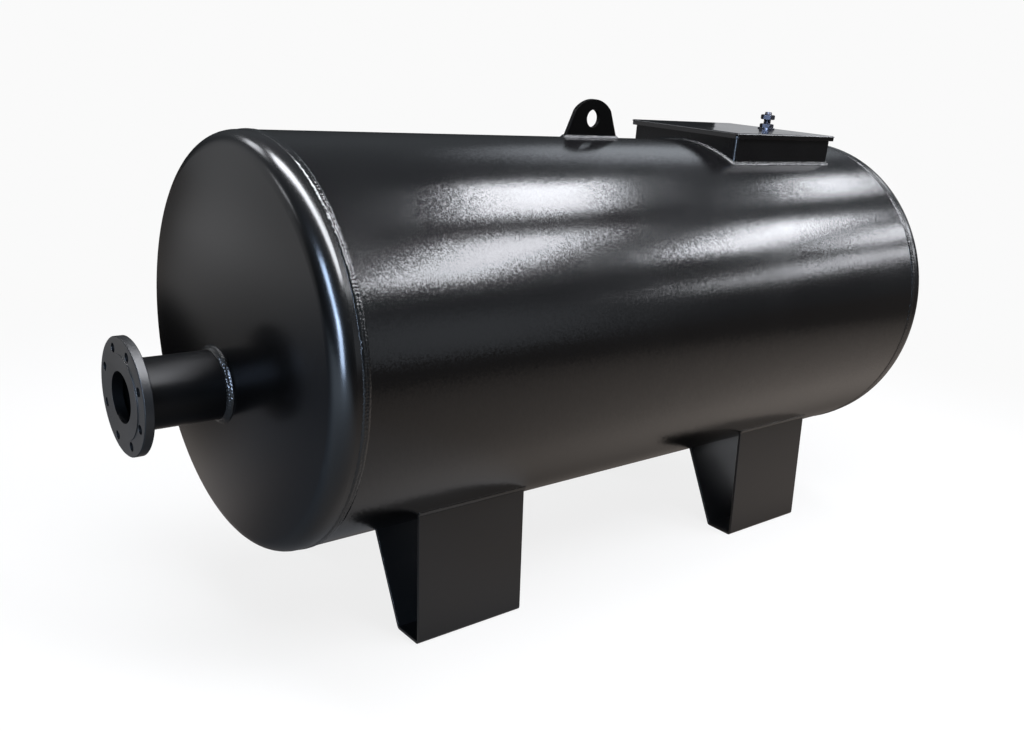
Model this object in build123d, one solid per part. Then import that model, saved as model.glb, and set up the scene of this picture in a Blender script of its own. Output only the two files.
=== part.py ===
"""Horizontal condensate tank of welded and painted steel plate, lying on four folded legs.

Millimetres, +Z up. The tank's axis runs along X, with the flanged nozzle at the -X end, called the
near end, and the hatch toward the +X end, called the far end. -Y is the front. The origin is on the
floor, under the middle of the overall length.
"""

import os
from math import asin, cos, degrees, pi, radians, sin, sqrt, tan

from build123d import *

# Vessel
TANK_D = 800.0
SHELL_T = 6.0
SHELL_L = 1680.0
FLOOR_CLEARANCE = 186.0

# Dished heads, sizes on their outer face
HEAD_T = 6.0
HEAD_FLANGE_L = 18.0
KNUCKLE_R = 38.0
DISH_R = 2100.0

# Butt welds of shell and heads
ROOT_GAP = 2.0
BEVEL_RUN = 3.5
GIRTH_CAP_W = 15.0
GIRTH_CAP_H = 2.4
SEAM_ANGLE = -25.0
SEAM_CAP_W = 13.0
SEAM_CAP_H = 2.0
GROOVE_PASS = 1.0

# Nozzle and its flange
NOZZLE_DROP = 66.0
NOZZLE_REACH = 264.0
PIPE_D = 133.0
PIPE_T = 5.0
PIPE_INSIDE_L = 14.0
PIPE_HOLE_CLEARANCE = 1.0
FLANGE_D = 220.0
FLANGE_T = 20.0
FACE_D = 158.0
FACE_H = 2.0
FLANGE_BORE_D = 96.0
BOLT_CIRCLE_D = 180.0
BOLT_HOLE_D = 18.0
BOLT_COUNT = 8
FLANGE_EDGE_CHAMFER = 1.5
NOZZLE_WELD = 11.0
FLANGE_WELD = 6.0

# Lifting lug
LUG_BASE_W = 160.0
LUG_SHOULDER_W = 108.0
LUG_SHOULDER_H = 61.0
LUG_H = 85.0
LUG_T = 10.0
LUG_SHOULDER_R = 24.0
LUG_HOLE_D = 39.0
LUG_HOLE_H = 43.0
LUG_OFFSET = -18.0
LUG_WELD = 8.0

# Hatch: coaming, gasket and folded lid
HATCH_INSET = 155.0
LID_L = 392.0
LID_W = 350.0
LID_T = 3.0
LID_LIP_H = 13.0
LID_BEND_R = 3.5
LID_CORNER_SLOT = 3.0
LID_RISE = 34.0
LID_CLEARANCE = 4.0
COAMING_T = 6.0
GASKET_T = 4.0
GASKET_W = 18.0
COAMING_WELD = 7.0

# Hold-down stud of the lid
STUD_D = 20.0
STUD_INSET = 60.0
STUD_RISE = 43.0
STUD_CHAMFER = 2.0
STUD_HOLE_CLEARANCE = 1.0
NUT_SIDES = 6
NUT_FLATS = 32.0
NUT_FACE_TURN = 30.0
NUT_H = 12.0
LOCKNUT_H = 10.0
WASHER_D = 44.0
WASHER_T = 3.0
NUT_TIP_GAP = 7.0
CROSSBAR_W = 50.0
CROSSBAR_T = 10.0
CROSSBAR_DROP = 30.0

# Folded legs
LEG_L = 268.0
LEG_INSET = 342.0
LEG_T = 6.0
LEG_SIDE_INSET = 112.0
LEG_BASE_W = 78.0
LEG_SPLAY = 4.0
LEG_LEAN = 28.3
LEG_BEND_R = 9.0
LEG_WELD = 7.0

# Worked out from the sizes above
TANK_R = TANK_D / 2
KNUCKLE_Y = TANK_R - KNUCKLE_R
DISH_CENTRE_X = sqrt((DISH_R - KNUCKLE_R) ** 2 - KNUCKLE_Y**2) - HEAD_FLANGE_L
HEAD_DEPTH = DISH_R - DISH_CENTRE_X
MIDDLE_X = (NOZZLE_REACH - HEAD_DEPTH) / 2
NEAR_X = MIDDLE_X - SHELL_L / 2
FAR_X = MIDDLE_X + SHELL_L / 2
AXIS_Z = FLOOR_CLEARANCE + TANK_R
TANK_AXIS = Axis((0, 0, AXIS_Z), (1, 0, 0))
CROWN_Z = AXIS_Z + TANK_R
GROOVE_HALF = ROOT_GAP / 2 + BEVEL_RUN


def on_side(half_width):
    """Height above the axis of the shell's outer face at a distance from the centre plane."""
    return sqrt(TANK_R**2 - half_width**2)


def tank_cylinder(radius, x_low, x_high):
    """Solid cylinder on the tank's axis, from one X to another."""
    solid = Cylinder(radius, x_high - x_low, align=(Align.CENTER, Align.CENTER, Align.MIN))
    return Pos(x_low, 0, AXIS_Z) * Rot(0, 90, 0) * solid


def turned(points):
    """Ring made by turning a closed outline of (x, radius) points about the tank's axis."""
    corners = [(x, 0, AXIS_Z + radius) for x, radius in points]
    return revolve(make_face(Polyline(*corners, close=True)), TANK_AXIS)


def lens(width, height):
    """Outline of a weld cap, chord on the local X axis and crown toward local Y."""
    half = width / 2
    return ThreePointArc((-half, 0), (0, height), (half, 0))


def dished_head():
    """Near head with its flange end at x = 0 and its crown toward -X, on the X axis."""
    lean = asin(KNUCKLE_Y / (DISH_R - KNUCKLE_R))
    half_turn = (pi / 2 - lean) / 2

    def knuckle(radius, turn):
        return (-HEAD_FLANGE_L - radius * sin(turn), KNUCKLE_Y + radius * cos(turn))

    def dish(radius, turn):
        return (DISH_CENTRE_X - radius * cos(turn), radius * sin(turn))

    def face_line(offset, groove):
        knuckle_r = KNUCKLE_R - offset
        dish_r = DISH_R - offset
        return [
            Line((-groove, TANK_R - offset), knuckle(knuckle_r, 0)),
            ThreePointArc(
                knuckle(knuckle_r, 0),
                knuckle(knuckle_r, half_turn),
                knuckle(knuckle_r, 2 * half_turn),
            ),
            ThreePointArc(dish(dish_r, lean), dish(dish_r, lean / 2), dish(dish_r, 0)),
        ]

    outside = face_line(0, GROOVE_HALF)
    inside = face_line(HEAD_T, ROOT_GAP / 2)
    crown = Line(dish(DISH_R, 0), dish(DISH_R - HEAD_T, 0))
    bevel = Line((-GROOVE_HALF, TANK_R), (-ROOT_GAP / 2, TANK_R - HEAD_T))
    return revolve(make_face(outside + inside + [crown, bevel]), Axis.X)


def girth_weld():
    """Butt weld of the near head and the shell: bevelled groove filled to its root, convex cap."""
    groove = make_face(
        Polyline(
            (-ROOT_GAP / 2, TANK_R - HEAD_T),
            (ROOT_GAP / 2, TANK_R - SHELL_T),
            (GROOVE_HALF, TANK_R),
            (-GROOVE_HALF, TANK_R),
            close=True,
        )
    )
    cap_edge = Line((-GIRTH_CAP_W / 2, 0), (GIRTH_CAP_W / 2, 0))
    cap = Pos(0, TANK_R) * make_face([lens(GIRTH_CAP_W, GIRTH_CAP_H), cap_edge])
    return revolve(groove + cap, Axis.X)


# Shell: one plate rolled round and welded along its length on the back
seam_place = Pos(0, 0, AXIS_Z) * Rot(SEAM_ANGLE - 90, 0, 0)
shell_tube = turned(
    [
        (NEAR_X + ROOT_GAP / 2, TANK_R - SHELL_T),
        (NEAR_X + GROOVE_HALF, TANK_R),
        (FAR_X - GROOVE_HALF, TANK_R),
        (FAR_X - ROOT_GAP / 2, TANK_R - SHELL_T),
    ]
)
groove_face = make_face(
    Polyline(
        (-ROOT_GAP / 2, TANK_R - SHELL_T - GROOVE_PASS),
        (ROOT_GAP / 2, TANK_R - SHELL_T - GROOVE_PASS),
        (GROOVE_HALF, TANK_R + GROOVE_PASS),
        (-GROOVE_HALF, TANK_R + GROOVE_PASS),
        close=True,
    )
)
seam_groove = seam_place * Pos(NEAR_X, 0, 0) * extrude(Plane.YZ * groove_face, SHELL_L)
cap_length = SHELL_L - GIRTH_CAP_W
cap_block = Plane.YZ * Pos(0, TANK_R) * make_face(
    [
        lens(SEAM_CAP_W, SEAM_CAP_H),
        Polyline(
            (SEAM_CAP_W / 2, 0),
            (SEAM_CAP_W / 2, -SHELL_T / 2),
            (-SEAM_CAP_W / 2, -SHELL_T / 2),
            (-SEAM_CAP_W / 2, 0),
        ),
    ]
)
seam_cap = seam_place * Pos(NEAR_X + GIRTH_CAP_W / 2, 0, 0) * extrude(cap_block, cap_length)
seam_cap -= tank_cylinder(TANK_R, NEAR_X, FAR_X)

# Hatch places, shared by the opening, the coaming, the lid and the stud
LID_FAR_X = FAR_X - HATCH_INSET
LID_NEAR_X = LID_FAR_X - LID_L
LID_MID_X = (LID_NEAR_X + LID_FAR_X) / 2
LID_TOP_Z = CROWN_Z + LID_RISE
LIP_LOW_Z = LID_TOP_Z - LID_LIP_H
COAMING_L = LID_L - 2 * (LID_T + LID_CLEARANCE)
COAMING_W = LID_W - 2 * (LID_T + LID_CLEARANCE)
COAMING_TOP_Z = LID_TOP_Z - LID_T - GASKET_T
OPENING_L = COAMING_L - 2 * COAMING_T
OPENING_W = COAMING_W - 2 * COAMING_T
STUD_X = LID_FAR_X - STUD_INSET
HATCH_LOW_Z = AXIS_Z + TANK_R / 2
opening_block = Pos(LID_MID_X, 0, HATCH_LOW_Z) * Box(
    OPENING_L, OPENING_W, TANK_R, align=(Align.CENTER, Align.CENTER, Align.MIN)
)

shell = shell_tube - seam_groove - opening_block
shell_seam_weld = (shell_tube & seam_groove) + seam_cap

# Heads and girth welds
near_head_blank = Pos(NEAR_X, 0, AXIS_Z) * dished_head()
far_head = Pos(FAR_X, 0, AXIS_Z) * Rot(0, 0, 180) * dished_head()
near_girth_weld = Pos(NEAR_X, 0, AXIS_Z) * girth_weld()
far_girth_weld = Pos(FAR_X, 0, AXIS_Z) * Rot(0, 0, 180) * girth_weld()

# Nozzle: pipe through the near head, butted on the back of a plate flange
NOZZLE_Z = AXIS_Z - NOZZLE_DROP
FACE_X = NEAR_X - NOZZLE_REACH
FLANGE_BACK_X = FACE_X + FLANGE_T
DISH_X = NEAR_X + DISH_CENTRE_X - sqrt(DISH_R**2 - NOZZLE_DROP**2)
PIPE_END_X = DISH_X + HEAD_T + PIPE_INSIDE_L


def nozzle_disc(diameter, x_low, x_high):
    """Solid cylinder on the nozzle's axis, from one X to another."""
    solid = Cylinder(diameter / 2, x_high - x_low, align=(Align.CENTER, Align.CENTER, Align.MIN))
    return Pos(x_low, 0, NOZZLE_Z) * Rot(0, 90, 0) * solid


pipe_solid = nozzle_disc(PIPE_D, FLANGE_BACK_X, PIPE_END_X)
nozzle_pipe = pipe_solid - nozzle_disc(PIPE_D - 2 * PIPE_T, FLANGE_BACK_X, PIPE_END_X)
near_head = near_head_blank - nozzle_disc(
    PIPE_D + 2 * PIPE_HOLE_CLEARANCE, DISH_X - HEAD_FLANGE_L, PIPE_END_X + HEAD_FLANGE_L
)

plate_x = FACE_X + FACE_H
flange_plate = nozzle_disc(FLANGE_D, plate_x, FLANGE_BACK_X)
flange_plate = chamfer(flange_plate.edges().filter_by(GeomType.CIRCLE), FLANGE_EDGE_CHAMFER)
raised_face = nozzle_disc(FACE_D, FACE_X, plate_x)
nozzle_flange = flange_plate + raised_face - nozzle_disc(FLANGE_BORE_D, FACE_X, FLANGE_BACK_X)
bolt_hole = nozzle_disc(BOLT_HOLE_D, FACE_X, FLANGE_BACK_X)
for turn in range(BOLT_COUNT):
    angle = 2 * pi * (turn + 0.5) / BOLT_COUNT
    out_y = BOLT_CIRCLE_D / 2 * cos(angle)
    out_z = BOLT_CIRCLE_D / 2 * sin(angle)
    nozzle_flange -= Pos(0, out_y, out_z) * bolt_hole

# Fillet weld round the pipe, turned about the dish's own normal where the pipe comes through
dish_tilt = degrees(asin(NOZZLE_DROP / DISH_R))
weld_toe = PIPE_D / 2 / cos(radians(dish_tilt)) + NOZZLE_WELD
weld_core = PIPE_D / 2 - NOZZLE_WELD


def dish_fall(radius):
    """How far the dish falls away from its own tangent plane at a radius from the touching point."""
    return DISH_R - sqrt(DISH_R**2 - radius**2)


dish_line = ThreePointArc(
    (weld_core, 0, -dish_fall(weld_core)),
    ((weld_core + weld_toe) / 2, 0, -dish_fall((weld_core + weld_toe) / 2)),
    (weld_toe, 0, -dish_fall(weld_toe)),
)
weld_top = weld_toe - weld_core - dish_fall(weld_toe)
weld_slope = Polyline(
    (weld_toe, 0, -dish_fall(weld_toe)),
    (weld_core, 0, weld_top),
    (weld_core, 0, -dish_fall(weld_core)),
)
weld_ring = revolve(make_face([dish_line, weld_slope]), Axis.Z)
nozzle_head_weld = Pos(DISH_X, 0, NOZZLE_Z) * Rot(0, -90 - dish_tilt, 0) * weld_ring
nozzle_head_weld -= nozzle_disc(PIPE_D, FLANGE_BACK_X, PIPE_END_X)

nozzle_axis = Axis((0, 0, NOZZLE_Z), (1, 0, 0))
flange_fillet = Polyline(
    (FLANGE_BACK_X, 0, NOZZLE_Z + PIPE_D / 2),
    (FLANGE_BACK_X, 0, NOZZLE_Z + PIPE_D / 2 + FLANGE_WELD),
    (FLANGE_BACK_X + FLANGE_WELD, 0, NOZZLE_Z + PIPE_D / 2),
    close=True,
)
nozzle_flange_weld = revolve(make_face(flange_fillet), nozzle_axis)

# Lifting lug on the crown, with a fillet weld all round its foot
LUG_X = MIDDLE_X + LUG_OFFSET
lug_outline = make_face(
    [
        Polyline(
            (LUG_SHOULDER_W / 2, LUG_SHOULDER_H),
            (LUG_BASE_W / 2, 0),
            (LUG_BASE_W / 2, -SHELL_T),
            (-LUG_BASE_W / 2, -SHELL_T),
            (-LUG_BASE_W / 2, 0),
            (-LUG_SHOULDER_W / 2, LUG_SHOULDER_H),
        ),
        ThreePointArc(
            (-LUG_SHOULDER_W / 2, LUG_SHOULDER_H),
            (0, LUG_H),
            (LUG_SHOULDER_W / 2, LUG_SHOULDER_H),
        ),
    ]
)
shoulders = lug_outline.vertices().group_by(Axis.Y)[-1]
lug_outline = fillet(shoulders, LUG_SHOULDER_R)
lug_outline -= Pos(0, LUG_HOLE_H) * Circle(LUG_HOLE_D / 2)
lug_plate = extrude(Plane.XZ * lug_outline, LUG_T / 2, both=True)
lug_blank = Pos(LUG_X, 0, CROWN_Z) * lug_plate
lifting_lug = lug_blank - tank_cylinder(TANK_R, NEAR_X, FAR_X)

weld_depth = LUG_WELD + SHELL_T / 2
lug_foot = Pos(LUG_X, 0, CROWN_Z - SHELL_T / 2) * Rectangle(
    LUG_BASE_W + 2 * weld_depth, LUG_T + 2 * weld_depth
)
lug_weld = extrude(lug_foot, weld_depth, taper=45)
lug_weld -= tank_cylinder(TANK_R, NEAR_X, FAR_X)
lug_weld -= lug_blank

# Hatch coaming: four plates coped to the shell, open corners filled with weld
WALL_LOW_Z = AXIS_Z + on_side(COAMING_W / 2) - SHELL_T
WALL_H = COAMING_TOP_Z - WALL_LOW_Z
HALF_L = COAMING_L / 2
HALF_W = COAMING_W / 2
hatch_shell = tank_cylinder(TANK_R, LID_NEAR_X - LID_L, FAR_X)


def coaming_plate(length_x, length_y, x, y):
    """Upright plate of the coaming, coped to the outer face of the shell."""
    block = Box(length_x, length_y, WALL_H, align=(Align.CENTER, Align.CENTER, Align.MIN))
    return Pos(x, y, WALL_LOW_Z) * block - hatch_shell


cross_x = HALF_L - COAMING_T / 2
cross_y = HALF_W - COAMING_T / 2
hatch_wall_near = coaming_plate(COAMING_T, OPENING_W, LID_MID_X - cross_x, 0)
hatch_wall_far = coaming_plate(COAMING_T, OPENING_W, LID_MID_X + cross_x, 0)
hatch_wall_front = coaming_plate(OPENING_L, COAMING_T, LID_MID_X, -cross_y)
hatch_wall_back = coaming_plate(OPENING_L, COAMING_T, LID_MID_X, cross_y)

corner_welds = []
for side_x in (-1, 1):
    for side_y in (-1, 1):
        bead = Cylinder(COAMING_T, WALL_H, align=(Align.CENTER, Align.CENTER, Align.MIN))
        quarter = bead & Box(
            COAMING_T, COAMING_T, WALL_H, align=(Align.MIN, Align.MIN, Align.MIN)
        )
        turn = {(1, 1): 0, (-1, 1): 90, (-1, -1): 180, (1, -1): 270}[(side_x, side_y)]
        place = Pos(LID_MID_X + side_x * OPENING_L / 2, side_y * OPENING_W / 2, WALL_LOW_Z)
        corner_welds.append(place * Rot(0, 0, turn) * quarter - hatch_shell)
hatch_corner_welds = Compound(children=[weld.solid() for weld in corner_welds])

# Fillet weld at the coaming's foot: straight runs along the tank, curved runs over it
foot_z = AXIS_Z + on_side(HALF_W)
low_y = HALF_W + COAMING_WELD
run_face = make_face(
    Polyline(
        (HALF_W, foot_z + COAMING_WELD),
        (low_y, AXIS_Z + on_side(low_y)),
        (HALF_W, AXIS_Z + on_side(low_y) - COAMING_WELD),
        close=True,
    )
)
long_run = extrude(Plane.YZ * run_face, COAMING_L / 2 + COAMING_WELD, both=True)
long_run = Pos(LID_MID_X, 0, 0) * long_run
curved_run = turned(
    [
        (LID_MID_X + HALF_L, TANK_R + COAMING_WELD),
        (LID_MID_X + HALF_L + COAMING_WELD, TANK_R),
        (LID_MID_X + HALF_L + COAMING_WELD, TANK_R - SHELL_T / 2),
        (LID_MID_X + HALF_L, TANK_R - SHELL_T / 2),
    ]
)
top_box = Pos(LID_MID_X, 0, AXIS_Z + TANK_R / 2) * Box(
    2 * LID_L, COAMING_W, TANK_R, align=(Align.CENTER, Align.CENTER, Align.MIN)
)
corner_box = Pos(LID_MID_X + HALF_L, HALF_W, AXIS_Z + TANK_R / 2) * Box(
    2 * COAMING_WELD, 2 * COAMING_WELD, TANK_R, align=(Align.MIN, Align.MIN, Align.MIN)
)
straight_box = Pos(LID_MID_X, 0, AXIS_Z + TANK_R / 2) * Box(
    COAMING_L, LID_W * 2, TANK_R, align=(Align.CENTER, Align.CENTER, Align.MIN)
)
quarter_weld = (long_run & straight_box) + (curved_run & top_box) + (long_run & curved_run & corner_box)
quarter_weld -= hatch_shell
middle = Plane.YZ.offset(LID_MID_X)
half_weld = quarter_weld + quarter_weld.mirror(middle)
hatch_shell_weld = half_weld + half_weld.mirror(Plane.XZ)

# Gasket, lid and hold-down
gasket_frame = Rectangle(COAMING_L, COAMING_W)
gasket_frame -= Rectangle(COAMING_L - 2 * GASKET_W, COAMING_W - 2 * GASKET_W)
hatch_gasket = Pos(LID_MID_X, 0, COAMING_TOP_Z) * extrude(gasket_frame, GASKET_T)

stud_place = Pos(STUD_X, 0, 0)
lid_blank = Pos(LID_MID_X, 0, LIP_LOW_Z) * Box(
    LID_L, LID_W, LID_LIP_H, align=(Align.CENTER, Align.CENTER, Align.MIN)
)
lid_blank = fillet(lid_blank.edges().filter_by(Plane.XY).group_by(Axis.Z)[-1], LID_BEND_R)
lid_hollow = Pos(LID_MID_X, 0, LIP_LOW_Z) * Box(
    LID_L - 2 * LID_T,
    LID_W - 2 * LID_T,
    LID_LIP_H - LID_T,
    align=(Align.CENTER, Align.CENTER, Align.MIN),
)
hatch_lid = lid_blank - lid_hollow
for side_x in (-1, 1):
    for side_y in (-1, 1):
        corner = Pos(LID_MID_X + side_x * LID_L / 2, side_y * LID_W / 2, LIP_LOW_Z)
        hatch_lid -= corner * Box(
            2 * LID_T,
            2 * (LID_T + LID_CORNER_SLOT),
            LID_LIP_H - LID_BEND_R,
            align=(Align.CENTER, Align.CENTER, Align.MIN),
        )
hatch_lid -= stud_place * Pos(0, 0, LIP_LOW_Z) * Cylinder(
    STUD_D / 2 + STUD_HOLE_CLEARANCE,
    LID_LIP_H,
    align=(Align.CENTER, Align.CENTER, Align.MIN),
)

CROSSBAR_TOP_Z = COAMING_TOP_Z - CROSSBAR_DROP
STUD_LOW_Z = CROSSBAR_TOP_Z - CROSSBAR_T
STUD_TOP_Z = LID_TOP_Z + STUD_RISE
stud_solid = Cylinder(
    STUD_D / 2, STUD_TOP_Z - STUD_LOW_Z, align=(Align.CENTER, Align.CENTER, Align.MIN)
)
stud_solid = chamfer(stud_solid.edges().group_by(Axis.Z)[-1], STUD_CHAMFER)
lid_stud = stud_place * Pos(0, 0, STUD_LOW_Z) * stud_solid
stud_hole = stud_place * Pos(0, 0, STUD_LOW_Z) * Cylinder(
    STUD_D / 2, STUD_TOP_Z - STUD_LOW_Z, align=(Align.CENTER, Align.CENTER, Align.MIN)
)
crossbar = Pos(STUD_X, 0, STUD_LOW_Z) * Box(
    CROSSBAR_W, OPENING_W, CROSSBAR_T, align=(Align.CENTER, Align.CENTER, Align.MIN)
)
hatch_crossbar = crossbar - stud_hole

washer = Cylinder(WASHER_D / 2, WASHER_T, align=(Align.CENTER, Align.CENTER, Align.MIN))
lid_washer = stud_place * Pos(0, 0, LID_TOP_Z) * washer - stud_hole


def hex_nut(height, z):
    """Hexagon nut on the lid's stud, with its corners turned off on both faces."""
    blank = extrude(RegularPolygon(NUT_FLATS / 2, NUT_SIDES, major_radius=False), height)
    corner_r = NUT_FLATS / 2 / cos(pi / NUT_SIDES)
    turned_off = corner_r - NUT_FLATS / 2
    bar = Cylinder(corner_r, height, align=(Align.CENTER, Align.CENTER, Align.MIN))
    bar = chamfer(bar.edges(), turned_off * tan(radians(NUT_FACE_TURN)), turned_off)
    return stud_place * Pos(0, 0, z) * (blank & bar) - stud_hole


lid_locknut = hex_nut(LOCKNUT_H, LID_TOP_Z + WASHER_T)
lid_nut = hex_nut(NUT_H, STUD_TOP_Z - NUT_TIP_GAP - NUT_H)

# Legs: one plate each, folded to an open channel and coped to the shell
LEG_OUTER_Y = TANK_R - LEG_SIDE_INSET
LEG_INNER_Y = LEG_OUTER_Y - LEG_BASE_W
splay = tan(radians(LEG_SPLAY))
lean = tan(radians(LEG_LEAN))


def plate_top_y(foot_y, slope):
    """Y where a leg plate, leaning in by slope as it rises from its foot, meets the shell."""
    lean_sum = slope * foot_y + AXIS_Z
    foot_reach = foot_y**2 + AXIS_Z**2 - TANK_R**2
    top_z = (lean_sum - sqrt(lean_sum**2 - (1 + slope**2) * foot_reach)) / (1 + slope**2)
    return foot_y - slope * top_z


reach_z = AXIS_Z - TANK_R / 2
leg_outline = make_face(
    Polyline(
        (LEG_OUTER_Y - splay * reach_z, reach_z),
        (LEG_OUTER_Y, 0),
        (LEG_INNER_Y, 0),
        (LEG_INNER_Y - lean * reach_z, reach_z),
        close=True,
    )
)
bends = leg_outline.vertices().group_by(Axis.Y)[0]
leg_outline = fillet(bends, LEG_BEND_R)
leg_section = leg_outline - offset(leg_outline, -LEG_T)
leg_bar = extrude(Plane.YZ * leg_section, LEG_L / 2, both=True) - tank_cylinder(TANK_R, -LEG_L, LEG_L)
leg_blank = max(leg_bar.solids(), key=lambda solid: solid.volume)


def shell_point(angle):
    """Point (y, z) on the shell's outer face, at an angle from straight down."""
    return (TANK_R * sin(angle), AXIS_Z - TANK_R * cos(angle))


def leg_fillet(root_y, side, slope):
    """Fillet weld along a leg plate's top, on the side of +Y or -Y as side is 1 or -1."""
    root = asin(root_y / TANK_R)
    toe = root + side * LEG_WELD / TANK_R
    seat_y, seat_z = shell_point(root)
    section = make_face(
        Polyline(
            (seat_y + slope * LEG_WELD, seat_z - LEG_WELD),
            shell_point(toe),
            (seat_y - slope * LEG_WELD, seat_z + LEG_WELD),
            close=True,
        )
    )
    run = extrude(Plane.YZ * section, LEG_L / 2, both=True)
    return run - tank_cylinder(TANK_R, -LEG_L, LEG_L)


outer_fillet = leg_fillet(plate_top_y(LEG_OUTER_Y, splay), 1, splay).solid()
inner_fillet = leg_fillet(plate_top_y(LEG_INNER_Y, lean), -1, lean).solid()

nodes = {
    "shell": shell,
    "shell_seam_weld": shell_seam_weld,
    "near_head": near_head,
    "far_head": far_head,
    "near_girth_weld": near_girth_weld,
    "far_girth_weld": far_girth_weld,
    "nozzle_pipe": nozzle_pipe,
    "nozzle_flange": nozzle_flange,
    "nozzle_head_weld": nozzle_head_weld,
    "nozzle_flange_weld": nozzle_flange_weld,
    "lifting_lug": lifting_lug,
    "lug_weld": lug_weld,
    "hatch_wall_near": hatch_wall_near,
    "hatch_wall_far": hatch_wall_far,
    "hatch_wall_front": hatch_wall_front,
    "hatch_wall_back": hatch_wall_back,
    "hatch_corner_welds": hatch_corner_welds,
    "hatch_shell_weld": hatch_shell_weld,
    "hatch_gasket": hatch_gasket,
    "hatch_lid": hatch_lid,
    "hatch_crossbar": hatch_crossbar,
    "lid_stud": lid_stud,
    "lid_washer": lid_washer,
    "lid_locknut": lid_locknut,
    "lid_nut": lid_nut,
}

for end, leg_x in (("near", NEAR_X + LEG_INSET), ("far", FAR_X - LEG_INSET)):
    back_leg = Pos(leg_x, 0, 0) * leg_blank
    back_welds = [Pos(leg_x, 0, 0) * outer_fillet, Pos(leg_x, 0, 0) * inner_fillet]
    front_welds = [weld.mirror(Plane.XZ) for weld in back_welds]
    nodes[f"{end}_back_leg"] = back_leg
    nodes[f"{end}_front_leg"] = back_leg.mirror(Plane.XZ)
    nodes[f"{end}_back_leg_welds"] = Compound(children=back_welds)
    nodes[f"{end}_front_leg_welds"] = Compound(children=front_welds)

os.makedirs("parts", exist_ok=True)
for name, shape in nodes.items():
    export_step(shape, f"parts/{name}.step")
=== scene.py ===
import math

import bmesh
import bpy
from mathutils import Matrix, Vector, noise


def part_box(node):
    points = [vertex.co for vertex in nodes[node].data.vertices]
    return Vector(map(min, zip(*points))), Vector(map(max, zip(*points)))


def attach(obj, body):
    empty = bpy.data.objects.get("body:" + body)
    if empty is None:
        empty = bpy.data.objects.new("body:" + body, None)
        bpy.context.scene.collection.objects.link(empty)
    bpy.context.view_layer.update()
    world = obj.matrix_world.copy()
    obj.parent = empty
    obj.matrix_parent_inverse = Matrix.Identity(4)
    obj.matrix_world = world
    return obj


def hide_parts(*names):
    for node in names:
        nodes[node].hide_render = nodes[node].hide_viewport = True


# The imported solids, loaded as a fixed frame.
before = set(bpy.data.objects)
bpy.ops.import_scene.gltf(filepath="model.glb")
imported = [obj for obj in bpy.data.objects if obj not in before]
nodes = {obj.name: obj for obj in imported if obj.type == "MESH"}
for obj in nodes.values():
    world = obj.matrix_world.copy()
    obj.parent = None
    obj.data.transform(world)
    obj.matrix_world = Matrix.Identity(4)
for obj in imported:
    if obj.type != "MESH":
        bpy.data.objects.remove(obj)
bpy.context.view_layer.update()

# The photographer's view: a 35 mm lens held a little above the lid, close to the near end of the
# tank, pitched down and tipped a few degrees, with the frame trimmed at the top afterwards.
EYE = (-1.5876, -1.7464, 1.1424)
VIEW_RIGHT = Vector((0.76927, -0.63398, 0.07927))
VIEW_AHEAD = Vector((0.61812, 0.70708, -0.34348))
SENSOR_MM = 36.0
LENS_MM = 35.45
SHIFT_ACROSS = -0.0099
SHIFT_UP = 0.0624
NEAREST_SEEN = 0.05
bpy.ops.object.camera_add(location=EYE)
camera = bpy.context.object
camera.name = "photograph_view"
view_up = VIEW_RIGHT.cross(VIEW_AHEAD)
camera.rotation_mode = "QUATERNION"
camera.rotation_quaternion = Matrix((VIEW_RIGHT, view_up, -VIEW_AHEAD)).transposed().to_quaternion()
camera.data.sensor_width = SENSOR_MM
camera.data.lens = LENS_MM
camera.data.shift_x = SHIFT_ACROSS
camera.data.shift_y = SHIFT_UP
camera.data.clip_start = NEAREST_SEEN
bpy.context.scene.camera = camera
bpy.context.scene.view_settings.view_transform = "Standard"  # tones as they are, with no film curve


# The studio room: dim grey walls, lighter toward the ceiling, with five paler stretches of wall.
# The gloss paint mirrors these, while the camera sees only the pale backdrop.
def add_node(tree, kind, sockets=None, **settings):
    """One node with its settings, and its sockets given as values or as other nodes' outputs."""
    new = tree.nodes.new(kind)
    for name, value in settings.items():
        setattr(new, name, value)
    for name, value in (sockets or {}).items():
        if isinstance(value, bpy.types.NodeSocket):
            tree.links.new(value, new.inputs[name])
        else:
            new.inputs[name].default_value = value
    return new


def paint_colour(code):
    """Linear colour of an sRGB hex code."""
    parts = [int(code[i : i + 2], 16) / 255 for i in (1, 3, 5)]
    linear = [p / 12.92 if p <= 0.04045 else ((p + 0.055) / 1.055) ** 2.4 for p in parts]
    return (*linear, 1.0)


def lit_stretch(tree, heading, compass, height, half_width, strength):
    """Strength of a stretch of light, full at its middle and gone at its half width. Its place and
    width are in degrees, from +X toward +Y and up."""
    flat = math.cos(math.radians(height))
    middle = (
        flat * math.cos(math.radians(compass)),
        flat * math.sin(math.radians(compass)),
        math.sin(math.radians(height)),
    )
    closeness = add_node(
        tree, "ShaderNodeVectorMath", {0: heading, 1: middle}, operation="DOT_PRODUCT"
    )
    fading = {
        "Value": closeness.outputs["Value"],
        "From Min": math.cos(math.radians(half_width)),
        "From Max": 1.0,
        "To Max": strength,
    }
    return add_node(tree, "ShaderNodeMapRange", fading, interpolation_type="SMOOTHSTEP").outputs[0]


BACKDROP = "#FAFAFA"
WALLS = "#EDF7FF"
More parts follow.
